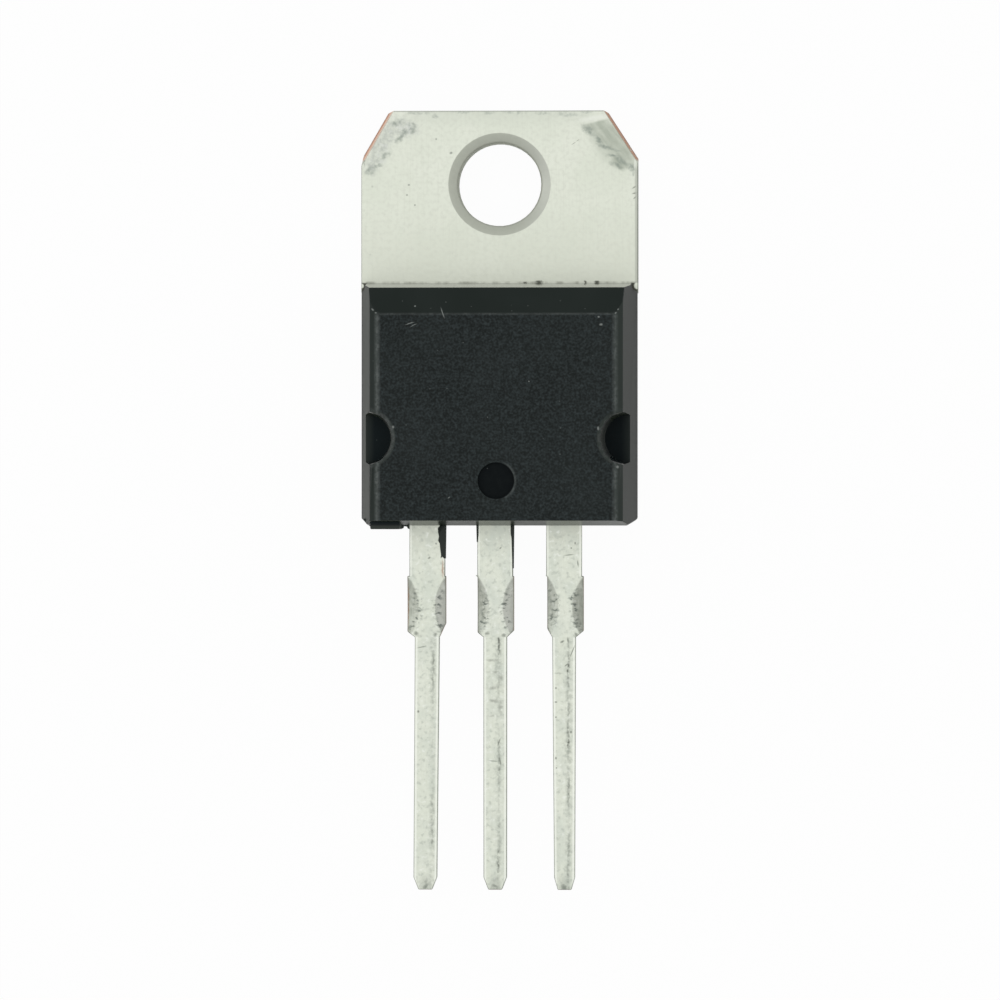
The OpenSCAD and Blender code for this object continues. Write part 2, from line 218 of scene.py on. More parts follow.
def band(value, low, high, soft):
    """1 between two values and 0 outside, with soft ends."""
    return times(step(value, low - soft, low + soft), step(value, high + soft, high - soft))


def patch(at, centre_x, centre_y, half_x, half_y, turn=0.0):
    """A soft oval on the part's front: 1 in its middle, 0 outside. Sizes in mm, turn in degrees."""
    local = add("ShaderNodeMapping", {
        "Vector": at, "Location": (centre_x, centre_y, 0.0),
        "Rotation": (0.0, 0.0, math.radians(turn)),
        "Scale": (half_x, half_y, 1000.0)}, vector_type="TEXTURE").outputs[0]
    far = add("ShaderNodeVectorMath", {0: local}, operation="LENGTH").outputs["Value"]
    return add("ShaderNodeMapRange", {0: far, 1: 1.2, 2: 0.2, 3: 0.0, 4: 1.0},
               interpolation_type="SMOOTHSTEP").outputs[0]


def patches(at, ovals):
    """Several soft ovals together, each given as patch() takes it."""
    return largest(*[patch(at, *oval) for oval in ovals])


def grain(at, scale, detail=2.0, stretch=(1.0, 1.0, 1.0)):
    """Noise with that many features to the millimetre, stretched along an axis."""
    drawn = add("ShaderNodeVectorMath", {0: at, 1: stretch}, operation="MULTIPLY").outputs[0]
    return add("ShaderNodeTexNoise", {"Vector": drawn, "Scale": scale, "Detail": detail}).outputs[0]


def streaks(at, turn, along, across, detail=3.0):
    """Noise drawn out along a direction, with that many features to the mm along and across it."""
    turned = add("ShaderNodeMapping", {"Vector": at, "Rotation": (0.0, 0.0, math.radians(turn)),
                                       "Scale": (1 / along, 1 / across, 1 / across)},
                 vector_type="TEXTURE").outputs[0]
    return add("ShaderNodeTexNoise", {"Vector": turned, "Scale": 1.0, "Detail": detail}).outputs[0]


def shaken(at, scale, reach):
    """The same place moved by noise, so that a pattern's outline turns ragged."""
    noise = add("ShaderNodeTexNoise", {"Vector": at, "Scale": scale, "Detail": 4.0}).outputs[1]
    noise = add("ShaderNodeVectorMath", {0: noise, 1: (0.5, 0.5, 0.5)},
                operation="SUBTRACT").outputs[0]
    return add("ShaderNodeVectorMath", {0: noise, 1: (reach, reach, 0.0), 2: at},
               operation="MULTIPLY_ADD").outputs[0]


def distance(across, along, middle):
    """How far a place given by two values lies from a middle in the same two."""
    both = add("ShaderNodeCombineXYZ", {0: across, 1: along}).outputs[0]
    return add("ShaderNodeVectorMath", {0: both, 1: (*middle, 0.0)},
               operation="DISTANCE").outputs["Value"]


print("the pattern helpers: step, band, patch, patches, grain, streaks, shaken and distance")

# %% [markdown]
# ## The plate that covers the whole strip
# The strip is copper, plated with matt tin before the leads were cut apart and the tab's corners
# were sheared. So the plate covers the faces, and bare copper shows only on the late cuts.
#
# Matt tin is a felt of small crystals: an even pale grey with a hint of green, and no mirror image.
# One flat colour with some roughness would look like plastic. Clouds, crystals and the rolled
# strip's faint lines give it a grain at its real scale. The tab and the leads share this start, and
# each then gets its own marks, so that neither finish grows larger than Blender can handle.

# %% The plate that covers the whole strip
CRYSTALS_PER_MM = 7.0
ROLL_LINES_PER_MM = 16.0
PLATE_ROUGHNESS = 0.33
CRYSTAL_HEIGHT = 0.004


def begin_plate(name):
    """A plate material with its base tone, and the measures that its marks are placed by."""
    material, tree, out, mm = new_material(name)
    place = add("ShaderNodeSeparateXYZ", {0: mm}).outputs
    surface = put(tree, "ShaderNodeNewGeometry").outputs
    facing = add("ShaderNodeSeparateXYZ", {0: surface["True Normal"]}).outputs
    leaning = add("ShaderNodeSeparateXYZ", {0: surface["Normal"]}).outputs[2]
    # The roundings of the edges, where a thin line of painted shade goes
    rounded_edge_shade = band(leaning, 0.3, 0.86, 0.08)

    # Crystals of the plate, and faint lines from the rolling of the strip, along its length
    cloud = grain(mm, 0.55, 4.0)
    crystals = grain(mm, CRYSTALS_PER_MM, 3.0)
    rolled = grain(mm, 1.0, 3.0, (ROLL_LINES_PER_MM, 0.5, ROLL_LINES_PER_MM))
    tone = tint(step(cloud, 0.35, 0.65), colour("#e0e4d7"), colour("#dbe0d2"))
    tone = paint(tone, "#d5d9cc", step(crystals, 0.45, 0.8))
    tone = paint(tone, "#cbcec1", step(rolled, 0.5, 0.75), 0.2)

    # A few pits in the plate
    cells = add("ShaderNodeTexVoronoi", {"Vector": mm, "Scale": 0.9, "Randomness": 1.0})
    few = step(add("ShaderNodeSeparateColor", {0: cells.outputs["Color"]}).outputs[0], 0.62, 0.64)
    pits = times(step(cells.outputs["Distance"], 0.055, 0.02), few, 0.36)
    tone = paint(tone, "#868b82", pits)
    return material, tree, out, mm, place, facing, rounded_edge_shade, crystals, rolled, tone


def show_copper(mm, tone, shows, copper):
    """Copper where a face was cut after plating, with a little plate smeared over it."""
    bare = times(shows, step(grain(mm, 1.0, 3.0, (7.0, 7.0, 1.2)), 0.28, 0.42))
    return tint(bare, tone, copper), bare


def finish_plate(tree, out, tone, crystals, rolled, duller, deeper):
    """Joins the tone to a metal shader. Duller places are rougher, and deeper ones are sunk."""
    rough = plus(PLATE_ROUGHNESS, times(crystals, 0.08), duller)
    relief = minus(plus(times(crystals, 0.5), times(rolled, 0.3)), deeper)
    bump = add("ShaderNodeBump", {"Strength": 0.5, "Distance": CRYSTAL_HEIGHT * MM,
                                  "Height": relief})
    shader = add("ShaderNodeBsdfPrincipled",
                 {"Base Color": tone, "Metallic": 1.0, "Roughness": rough,
                  "Normal": bump.outputs[0]})
    tree.links.new(shader.outputs[0], out.inputs[0])
    print("nodes in this finish:", len(tree.nodes))


print("micrometres from crystal to crystal:", round(1000 / CRYSTALS_PER_MM))
print("micrometres from rolling line to rolling line:", round(1000 / ROLL_LINES_PER_MM))

# %% [markdown]
# ## The tab: scuffs beside the sheared corners
# The two corners were cut off after plating. The shears' clamp pressed on the plate beside each cut
# and left a grey, cloudy zone with darker smears along its border. A painted picture would do this
# too, but ovals that noise has shaken keep it a pattern: each smear has a place, a size and a turn.

# %% Scuffs of the tab
started = begin_plate("matt_tin_plate_on_the_tab")
plate_tab, tree, out, mm, place, facing, rounded_edge_shade, crystals, rolled, tone = started
x, y, z = place
x_far = absolute(x)
on_tab = step(y, BODY_TOP, BODY_TOP + 0.01)
to_right = step(x, -1.0, 1.0)
to_left = step(x, 1.0, -1.0)
PITS = [(-1.78, 1.15, 0.07, 0.055, 20.0), (-3.33, -0.02, 0.05, 0.04, 0.0),
        (-3.4, -0.39, 0.04, 0.04, 0.0), (-3.11, -0.76, 0.04, 0.04, 0.0),
        (-2.33, 1.66, 0.03, 0.05, 0.0)]
pits = times(patches(mm, PITS), on_tab, 0.8)
tone = paint(tone, "#868b82", pits)
# Painted shade: the tab is painted darker towards the moulding, where the block shades it
tone = paint(tone, "#d0d4c6", step(y, -0.8, BODY_TOP), on_tab, 0.75)

wavy = shaken(mm, 2.5, 0.45)
furry = shaken(mm, 4.5, 0.24)
jagged = shaken(mm, 9.0, 0.12)
sandy = between(0.3, 1.0, step(grain(mm, 7.0, 5.0), 0.32, 0.62))

# The right scuff ends at a straight mark that rises a little to the right
NICK_SLOPE = 0.2447
below_nick = step(minus(y, times(x, NICK_SLOPE)), 1.46, 1.38)
GREYED_LEFT = [(-4.3, 1.58, 1.15, 0.4, 60.0), (-3.5, 2.05, 0.6, 0.42, 0.0),
               (-4.6, 0.75, 0.5, 0.36, 35.0)]
GREYED_RIGHT = [(3.65, 2.1, 0.75, 0.5, -20.0), (4.05, 1.7, 1.1, 0.72, -57.0),
                (4.55, 1.1, 0.7, 0.5, -50.0), (4.4, 0.78, 0.5, 0.3, -20.0)]
SCUFFED = [(-3.8, 2.26, 0.28, 0.13, 20.0), (-3.28, 2.2, 0.3, 0.09, -5.0),
           (-3.17, 2.03, 0.12, 0.22, 0.0), (-3.5, 1.88, 0.26, 0.12, 20.0),
           (-3.65, 1.7, 0.3, 0.12, 42.0), (-4.17, 1.07, 0.32, 0.12, 38.0),
           (-4.5, 0.66, 0.24, 0.1, 15.0), (-4.76, 0.48, 0.26, 0.14, 24.0),
           (-4.99, 0.82, 0.05, 0.2, 0.0), (3.26, 1.97, 0.34, 0.17, -40.0),
           (3.6, 1.64, 0.3, 0.1, -42.0), (3.86, 1.36, 0.34, 0.11, -22.0),
           (4.2, 1.25, 0.3, 0.06, -10.0), (4.15, 1.03, 0.3, 0.07, -8.0),
           (4.48, 0.85, 0.34, 0.11, -35.0), (4.83, 0.62, 0.24, 0.15, -50.0),
           (4.3, 0.7, 0.3, 0.1, -20.0), (4.9, 0.42, 0.07, 0.16, 0.0)]
rubbed_left = between(0.45, 1.0, step(streaks(mm, 60.0, 1.0, 5.0, 5.0), 0.3, 0.65))
rubbed_right = between(0.6, 1.0, step(streaks(mm, -50.0, 1.0, 5.0, 5.0), 0.3, 0.65))
greyed_left = times(patches(wavy, GREYED_LEFT), rubbed_left, sandy, on_tab)
tone = paint(tone, "#b3b8b1", greyed_left)
greyed_right = times(patches(wavy, GREYED_RIGHT), rubbed_right, below_nick, on_tab)
tone = paint(tone, "#a9b0a2", greyed_right)
frosted = times(patches(wavy, GREYED_LEFT), step(grain(mm, 4.0, 5.0), 0.52, 0.62), on_tab, 0.45)
tone = paint(tone, "#dfe2dc", frosted)
heavier_right = between(0.7, 0.85, step(x, 0.0, 1.0))
scuffed = times(patches(furry, SCUFFED), sandy, on_tab, heavier_right)
tone = paint(tone, "#8d968d", scuffed)
print("scuffs:", len(SCUFFED), "on grey zones:", len(GREYED_LEFT) + len(GREYED_RIGHT))

# %% [markdown]
# ## The tab: its end, its hole and its joint with the moulding
# The tab's end has grey smears from the die, two pale patches are painted highlights, and part of
# the right edge is painted greyer as shade. The ring round the screw hole was coined, pressed
# flatter and duller than the rolled face, and its right half is painted lighter as painted light.
# Where the moulding starts, grime and painted shade sit in the joint, and the gap beside each ear of
# the strip is dark. All of these follow measured edges, by their distance from them.

# %% Marks, ring, grime and painted shade of the tab
END_MARKS = [(-2.99, 2.61, 0.5, 0.07, 0.0), (-1.38, 2.64, 0.34, 0.06, 0.0),
             (-2.37, 2.5, 0.17, 0.1, 0.0), (2.48, 2.57, 0.5, 0.12, -4.0),
             (3.21, 2.63, 0.28, 0.05, 0.0), (0.6, 2.63, 0.5, 0.07, 0.0), (1.6, 2.6, 0.4, 0.06, 0.0),
             (-0.4, 2.62, 0.3, 0.08, 0.0)]
NICKS = [(4.95, -0.12, 0.11, 0.03, 32.0), (4.96, -0.34, 0.11, 0.035, 10.0),
         (4.97, -0.5, 0.09, 0.03, 40.0), (2.72, 1.49, 0.11, 0.013, 33.0),
         (2.87, 1.6, 0.08, 0.013, 33.0)]
# Painted highlights: two pale patches, one near the end and one on the right edge
PAINTED_HIGHLIGHTS = [(3.5, 2.42, 0.7, 0.13, 8.0), (4.97, 0.75, 0.04, 0.25, 0.0)]
end_marks = times(patches(jagged, END_MARKS), step(crystals, 0.3, 0.6), on_tab, 0.6)
tone = paint(tone, "#959e97", end_marks)
end_shade = times(step(y, 2.0, TAB_END), step(x_far, 3.6, 3.2), 0.4)
tone = paint(tone, "#c6cbbf", end_shade)
tone = paint(tone, "#7f8378", patches(mm, NICKS), on_tab, 0.8)
tone = paint(tone, "#e8ebe2", patches(mm, PAINTED_HIGHLIGHTS), on_tab, 0.6)

# The blanking punch drew the strip down along its right edge, and its rounding is painted greyer
# there as painted shade
drawn_edge_shade = times(step(x, 4.95, 5.0), on_tab, step(y, 0.75, 0.5), 0.75)
tone = paint(tone, "#b0b4a9", drawn_edge_shade)

from_hole = distance(x, y, (0.0, 0.0))
ring = times(step(from_hole, RING_R + 0.01, RING_R - 0.01),
             step(z, TAB_FRONT - 0.17, TAB_FRONT - 0.11), on_tab)
# Painted light: the ring's right half, which faces the lamp on the left, is painted lighter
ring_tone_lit_right = tint(step(x, 0.5, 1.7), colour("#c6cabd"), colour("#cfd2c8"))
ring_share = times(ring, between(0.78, 0.98, crystals))
tone = tint(ring_share, tone, ring_tone_lit_right)

# Grime and painted shade along the joint with the moulding
near_joint = band(y, BODY_TOP - 0.02, BODY_TOP + 0.05, 0.02)
joint_specks = step(grain(mm, 3.0, 3.0, (1.0, 0.3, 1.0)), 0.45, 0.62)
front_only = step(z, TAB_FRONT - 0.07, TAB_FRONT - 0.02)
joint_grime_and_shade = times(near_joint, between(0.06, 0.46, joint_specks), front_only)
BLOTS = [(1.45, -3.59, 0.17, 0.07), (3.14, -3.6, 0.05, 0.07), (3.58, -3.6, 0.12, 0.06),
         (0.95, -3.6, 0.1, 0.04)]
blots = times(front_only, patches(jagged, BLOTS), 0.85)
tone = paint(tone, "#5c5d50", joint_grime_and_shade)
tone = paint(tone, "#34362c", blots)

# The gap between each ear of the strip and the moulding is dark
nearer_left = times(step(x, 0.0, -0.1), 0.05)
from_gap = plus(distance(x_far, y, (5.07, BODY_TOP - 0.11)), nearer_left)
below_tab = step(y, BODY_TOP + 0.02, BODY_TOP - 0.02)
ear_shade = times(band(from_gap, 0.13, 0.3, 0.02), below_tab, front_only, 0.92)
tone = paint(tone, "#2c2d24", ear_shade)
print("marks along the end:", len(END_MARKS), "nicks:", len(NICKS), "blots in the joint:",
      len(BLOTS))

# %% [markdown]
# ## The tab: rolled-over edges and bare copper
# A thin grey line of painted shade outlines the tab on the edges that the die rolled over, and a
# darker line of painted shade runs along its end. It is found by the smoothed normal, which leans
# only on the roundings. The two sheared corners show copper, brightest where the blade went in and
# brown where the metal tore, and the rounding beside each cut gets a painted highlight.

# %% Edges and cuts of the tab
CORNER_FROM_MIDDLE = 3.4
CORNER_LENGTH = 2.3
COPPER_STARTS = 0.84
slanted = absolute(times(facing[0], facing[1]))
late_cut = times(step(slanted, 0.01, 0.02),
                 step(y, TAB_END - CORNER_LENGTH, TAB_END - CORNER_LENGTH + 0.1),
                 step(x_far, CORNER_FROM_MIDDLE, CORNER_FROM_MIDDLE + 0.1))
off_ring = step(from_hole, RING_R - 0.03, RING_R + 0.07)
# Painted shade: a thin grey line on the roundings, off the ring and the late cuts
edge_shade_off_ring = times(rounded_edge_shade, off_ring, minus(1.0, late_cut), 0.75)
at_end = step(y, TAB_END - 0.06, TAB_END - 0.03)
tone = paint(tone, "#80857b", edge_shade_off_ring)
in_hole = times(step(from_hole, HOLE_R + 0.07, HOLE_R + 0.03), on_tab)
tone = paint(tone, "#c9ccc1", in_hole, 0.9)
# Painted shade: a darker line along the tab's end
end_edge_shade = times(at_end, on_tab, minus(1.0, late_cut), 0.35)
tone = paint(tone, "#6a6f67", end_edge_shade)

bare_cut = times(late_cut, step(y, COPPER_STARTS, COPPER_STARTS + 0.1))
# Painted highlight in copper's colours on the rounding beside each cut
copper_rim_highlight = times(bare_cut, step(facing[2], 0.25, 0.3), step(facing[2], 0.97, 0.9), 0.8)
tone = tint(copper_rim_highlight, tone, tint(to_right, colour("#fbe0ce"), colour("#dcb7a2")))
copper = tint(to_right, colour("#eab595"), colour("#cda389"))
copper = tint(step(z, 0.1, 0.5), colour("#a8806b"), copper)
copper = tint(times(step(z, 0.6, 1.1), to_left, 0.8), copper, colour("#ffe9d8"))
tone, bare = show_copper(mm, tone, times(step(facing[2], 0.6, 0.4), bare_cut), copper)
duller = plus(times(ring, 0.1), times(largest(bare, in_hole), 0.3))
finish_plate(tree, out, tone, crystals, rolled, duller, 0.0)

# %% [markdown]
# ## The leads: where each of them is
# The three leads share one finish, so it first works out how far a place lies from the middle of
# its own lead and from its edges. The outer leads lean a little, so their middles drift on the way.

# %% Places along the leads
LEFT_GAP, RIGHT_GAP = -1.33, 1.16
BLADE_HALF, SHANK_HALF, STUB_HALF = 0.43, 0.65, 0.7
LEFT_DRIFT, RIGHT_DRIFT = 0.07, 0.02
started = begin_plate("matt_tin_plate_on_the_leads")
plate_leads, tree, out, mm, place, facing, rounded_edge_shade, crystals, rolled, tone = started
x, y, z = place
jagged = shaken(mm, 9.0, 0.12)
across = absolute(facing[0])
upward = step(facing[2], 0.5, 0.7)
on_leads = times(step(z, LEAD_BACK - 0.03, LEAD_BACK - 0.01),
                 step(y, BODY_BOTTOM + 0.2, BODY_BOTTOM + 0.1))
left_one = step(x, LEFT_GAP, LEFT_GAP - 0.01)
right_one = step(x, RIGHT_GAP, RIGHT_GAP + 0.01)
down = step(y, STUB_BOTTOM, LEAD_TIP)
left_by = minus(LEAD_MIDDLES[0] - LEAD_MIDDLES[1], times(down, LEFT_DRIFT))
right_by = plus(LEAD_MIDDLES[2] - LEAD_MIDDLES[1], times(down, RIGHT_DRIFT))
middle = plus(LEAD_MIDDLES[1], times(left_one, left_by), times(right_one, right_by))
beside = minus(x, middle)
beside_far = absolute(beside)
on_blade = times(on_leads, step(y, STUB_BOTTOM + 0.02, STUB_BOTTOM - 0.02))
on_shank = times(on_leads, step(y, STUB_TOP - 0.02, STUB_TOP + 0.02))

# The left blade is a little wider at its root, and the right one narrows towards its tip
blade_half = plus(BLADE_HALF, times(left_one, 0.02), times(left_one, down, -0.02),
                  times(right_one, down, -0.05))
from_edge = minus(blade_half, beside_far)
from_shank_edge = minus(SHANK_HALF, beside_far)
print("leads' middles at the roots, mm:", [round(c, 3) for c in LEAD_MIDDLES])

# %% [markdown]
# ## The leads: mottle and painted edge highlights
# Such parts are packed in plastic tubes and slide along each other, and handling leaves the plate
# mottled. A bright line just inside each edge is a painted highlight, the light that the edge's
# rounding catches. Close to the block the leads are greyer, because the block's own dark wall is
# what their metal mirrors there.

# %% Mottle and painted edge highlights
near_body = times(on_shank, step(y, BODY_BOTTOM - 1.2, BODY_BOTTOM - 0.2), 0.75)
tone = paint(tone, "#c8ccbf", near_body)
mottle = times(step(grain(mm, 2.2, 5.0, (1.0, 0.55, 1.0)), 0.42, 0.7), on_leads, 0.42)
tone = paint(tone, "#c0c8bf", mottle)
fine_spots = grain(mm, 6.0, 5.0)
tone = paint(tone, "#f0f3ec", step(fine_spots, 0.58, 0.72), on_leads, 0.55)
tone = paint(tone, "#b3b9af", step(fine_spots, 0.45, 0.32), on_leads, 0.55)
# Painted highlight: a bright line just inside each edge of the blades and shanks
edge_highlight = plus(times(band(from_edge, 0.03, 0.1, 0.015), on_blade),
                 times(band(from_shank_edge, 0.03, 0.09, 0.015), on_shank, 0.8))
tone = paint(tone, "#f0f3e9", edge_highlight, upward, 0.75)

print("the burnished line is", round(1000 * (0.1 - 0.03)), "micrometres wide")

# %% [markdown]
# ## The leads: rubbed lines
# One broken dark line runs down each lead, where the high middle of the metal rubbed on the tube.
# A straight line would look drawn, so two noises make it wander and quiver, and two more break it.

# %% Rubbed lines
wander = times(minus(grain(mm, 0.9, 3.0, (0.2, 1.0, 0.2)), 0.5), 0.16)
quiver = times(minus(grain(mm, 6.0, 4.0, (0.5, 1.0, 0.5)), 0.5), 0.12)
line_place = plus(0.12, times(left_one, 0.1), times(right_one, 0.02), wander, quiver)
from_line = absolute(minus(beside, line_place))
broken = times(step(grain(mm, 1.1, 3.0), 0.4, 0.6),
               step(grain(mm, 7.0, 4.0, (1.0, 0.8, 1.0)), 0.4, 0.6))
RUBBED = [(-2.36, -17.8, 0.4, 1.5), (-2.42, -23.4, 0.4, 1.2), (0.02, -17.3, 0.35, 1.4),
          (0.0, -21.2, 0.35, 1.0), (0.0, -24.2, 0.35, 1.3), (2.55, -18.4, 0.35, 1.6),
          (2.55, -20.6, 0.35, 1.3), (2.52, -22.2, 0.35, 0.8), (2.5, -24.4, 0.35, 1.2)]
rubbed = between(0.25, 1.0, patches(mm, RUBBED))
on_face = times(rubbed, on_blade, upward)
wide_line = times(step(from_line, 0.15, 0.03), step(crystals, 0.35, 0.6), on_face, 0.55)
fainter = minus(0.95, times(left_one, 0.4))
thin_line = times(step(from_line, 0.06, 0.015), broken, on_face, fainter)
tone = paint(tone, "#9ba197", wide_line)
tone = paint(tone, "#5d6159", thin_line)

print("stretches that are rubbed more:", len(RUBBED))

# %% [markdown]
# ## The leads: cross marks, scratches and tips
# Feeder teeth left soft cross marks on the middle lead, and the cut-off tool roughened the tips.
# The cross marks get only a gentle shake: a strong one would turn such small marks into blots.

# %% Cross marks, scratches and tips
CROSS = [(-0.16, -17.42, 0.3, 0.07), (-0.16, -17.86, 0.3, 0.06), (-0.16, -18.44, 0.32, 0.08),
         (-0.17, -18.91, 0.3, 0.08), (-0.16, -19.46, 0.3, 0.06), (2.2, -17.9, 0.16, 0.05),
         (0.1, -18.13, 0.1, 0.27), (0.1, -19.15, 0.1, 0.3)]
SCRATCHES = [(-0.17, -21.1, 0.18, 0.022, -4.0), (0.09, -21.12, 0.022, 0.22, 8.0),
             (0.05, -20.4, 0.03, 0.16, -20.0), (2.12, -18.44, 0.04, 0.05),
             (2.12, -18.95, 0.06, 0.04), (2.12, -19.5, 0.04, 0.04), (2.12, -20.99, 0.04, 0.06),
             (2.14, -21.35, 0.04, 0.03), (2.67, -20.04, 0.06, 0.06),
             (2.72, -17.1, 0.025, 0.3, -22.0), (2.5, -17.6, 0.1, 0.03, 40.0),
             (2.6, -13.59, 0.2, 0.025, 6.0), (2.82, -13.16, 0.035, 0.06),
             (2.68, -13.34, 0.035, 0.04), (2.92, -13.9, 0.03, 0.14, 8.0),
             (-2.25, -13.18, 0.04, 0.05), (-2.5, -13.7, 0.07, 0.04, 30.0),
             (0.1, -13.34, 0.06, 0.03, 45.0), (-2.78, -16.95, 0.2, 0.02, 12.0),
             (-2.9, -19.3, 0.05, 0.06, 0.0), (2.35, -16.75, 0.1, 0.05, 30.0),
             (2.56, -16.7, 0.04, 0.12, 10.0)]
unsteady = shaken(mm, 6.0, 0.05)
cross = times(patches(unsteady, CROSS), step(fine_spots, 0.66, 0.4), on_leads, 0.72)
tone = paint(tone, "#a3a69c", cross)
scratches = times(patches(mm, SCRATCHES), on_leads, upward, 0.8)
tone = paint(tone, "#747970", scratches)
rough_tip = times(step(y, LEAD_TIP + 0.6, LEAD_TIP + 0.1), step(beside_far, 0.26, 0.06),
                  step(grain(mm, 6.0, 5.0), 0.32, 0.6), on_leads, 0.95)
tone = paint(tone, "#888e85", rough_tip)
print("cross marks:", len(CROSS), "scratches and dots:", len(SCRATCHES))

# %% [markdown]
# ## The stubs' hollows
# The bar that joined the leads was punched out with a round-nosed punch, which pressed a shallow
# hollow into both sides of each stub. The metal there is dull and streaked down the lead, and the
# punch's edge dragged small teeth out of the plate. The hollow's edge is an arc, so it is drawn by
# the distance from the punch's middle, and noise along the arc makes the teeth.

# %% Hollows of the stubs
HOLLOW_MIDDLE = -15.51
HOLLOW_PLAN_R = 1.818
HOLLOW_REACH = 2.09
inside = minus(HOLLOW_PLAN_R, distance(beside_far, y, (HOLLOW_REACH, HOLLOW_MIDDLE)))
teeth = grain(mm, 1.0, 5.0, (5.5, 9.0, 1.0))
wide_teeth = grain(mm, 1.0, 2.0, (1.2, 2.6, 1.0))
from_middle = absolute(minus(y, HOLLOW_MIDDLE - 0.14))
torn = plus(inside, times(minus(wide_teeth, 0.5), 0.3))
stub = times(on_leads, upward, band(y, STUB_BOTTOM, STUB_TOP, 0.01))
hollow = times(step(torn, -0.03, 0.12), stub)
drawn_down = grain(mm, 1.0, 5.0, (9.0, 3.0, 1.0))
# The right half of each hollow faces away from the lamp on the left: it is painted lighter on the
# left and middle leads as painted light, and darker on the right lead as painted shade
on_right = step(beside, 0.0, 0.1)
right_hollow_shade = times(right_one, on_right, 0.35)
right_hollow_light = times(on_right, minus(1.0, right_one))
drawn_share = minus(0.5, times(right_hollow_light, 0.25))
tone = paint(tone, "#bcc0b4", hollow, plus(0.05, right_hollow_shade))
tone = paint(tone, "#9a9f92", hollow, step(drawn_down, 0.42, 0.66), drawn_share)
# Painted light on the right halves of the left and middle leads' hollows
tone = paint(tone, "#f2f4ec", hollow, right_hollow_light, 0.6)
toothed = times(band(torn, -0.06, 0.22, 0.08), stub, step(from_middle, 1.0, 0.55))
torn_rim = times(toothed, step(teeth, 0.52, 0.62))
tone = paint(tone, "#68716b", torn_rim, 0.8)
bright_teeth = times(toothed, step(teeth, 0.42, 0.34), 0.6)
tone = paint(tone, "#e9ede4", bright_teeth)
CORNER_CHIPS = [(-2.29, -16.5, 0.1, 0.09), (-2.98, -16.45, 0.1, 0.1), (0.23, -16.52, 0.1, 0.08),
                (2.86, -16.5, 0.09, 0.1), (-0.38, -16.45, 0.1, 0.07)]
chips = times(patches(jagged, CORNER_CHIPS), on_leads, upward, 0.75)
tone = paint(tone, "#858a80", chips)
print("a hollow reaches", round(HOLLOW_PLAN_R - HOLLOW_REACH + STUB_HALF, 2),
      "mm into a stub from its edge")

# %% [markdown]
# ## The leads: rolled-over edges and bare copper
# As on the tab, a thin grey line of painted shade follows each edge. The stubs' flanks and the tips
# were cut last, so they show copper, browner than the tab's corners because the cut is small and
# handled.

# %% Edges and cuts of the leads
# Painted shade on the roundings of every edge
tone = paint(tone, "#80857b", rounded_edge_shade, 0.75)
at_stub = times(on_leads, step(across, 0.8, 0.9), step(y, STUB_BOTTOM, STUB_BOTTOM + 0.05),
                step(y, STUB_TOP, STUB_TOP - 0.05), 0.75)
at_tip = step(y, LEAD_TIP + 0.02, LEAD_TIP + 0.005)
shows = times(step(facing[2], 0.6, 0.4), largest(at_stub, at_tip))
tone, _ = show_copper(mm, tone, shows, colour("#c8957a"))
BROWN_EDGES = [(-3.28, -15.4, 0.05, 1.0), (-2.0, -14.1, 0.06, 0.4)]
brown_edge = times(patches(jagged, BROWN_EDGES), on_leads)
tone = paint(tone, "#a5836c", brown_edge, 0.7)
finish_plate(tree, out, tone, crystals, rolled, times(hollow, 0.1), torn_rim)

# %% [markdown]
# ## Moulding compound
# The block is epoxy filled with fine silica and blackened with carbon. Its looks come from the
# mould: some of its faces are polished and some are eroded. One flat black would hide all of that.
# A material is built in steps, each in a cell of its own, and all steps work on the same record
# of where a place is: how high, how far out, on a sunk floor or on the front.

# %% Places on the moulding
SIDE_HIP = 4.3
SLOPE_HIP = -4.86
POCKET_MIDDLE, POCKET_RIM = (4.76, -9.35), 1.12
MARK_MIDDLE, MARK_RIM = (0.0, -10.89), 0.665


def begin_compound(name):
    """An empty material, with the places and directions that the steps below need."""
    material, tree, out, mm = new_material(name)
    x, y, z = add("ShaderNodeSeparateXYZ", {0: mm}).outputs
    normal = put(tree, "ShaderNodeNewGeometry").outputs["True Normal"]
    facing = add("ShaderNodeSeparateXYZ", {0: normal}).outputs
    upward = step(facing[2], 0.97, 0.99)
    at_front = step(z, BODY_FRONT - 0.03, BODY_FRONT - 0.01)
    above_bottom = step(y, BODY_BOTTOM, BODY_BOTTOM + 0.1)
    return SimpleNamespace(
        material=material, tree=tree, out=out, mm=mm, x=x, y=y, z=z, facing=facing,
        x_far=absolute(x), sideways=absolute(facing[0]),
        to_left=step(x, 1.0, -1.0), to_right=step(x, -1.0, 1.0),
        eroded=times(upward, at_front), sunk=times(upward, minus(1.0, at_front), above_bottom),
        high=step(z, BODY_FRONT - 0.3, BODY_FRONT - 0.2))


print("the hips of the front are", 2 * SIDE_HIP, "mm apart")

# %% [markdown]
# ## The mould's grain
# The front plate of the mould was spark-eroded, which prints two or three tiny pits on each tenth of
# a millimetre. Two noises of different size make them, because one alone looks woven. The floors of
# the pockets and of the round mark come from pins, so they are smooth and a bit dusty, and they are
# painted dark as shade in these recesses. The pockets' floors and their open lip are painted lighter
# again as painted light, more on the left.

# %% Grain and sunk floors
FINE_PITS_PER_MM, COARSE_PITS_PER_MM = 12.0, 5.0


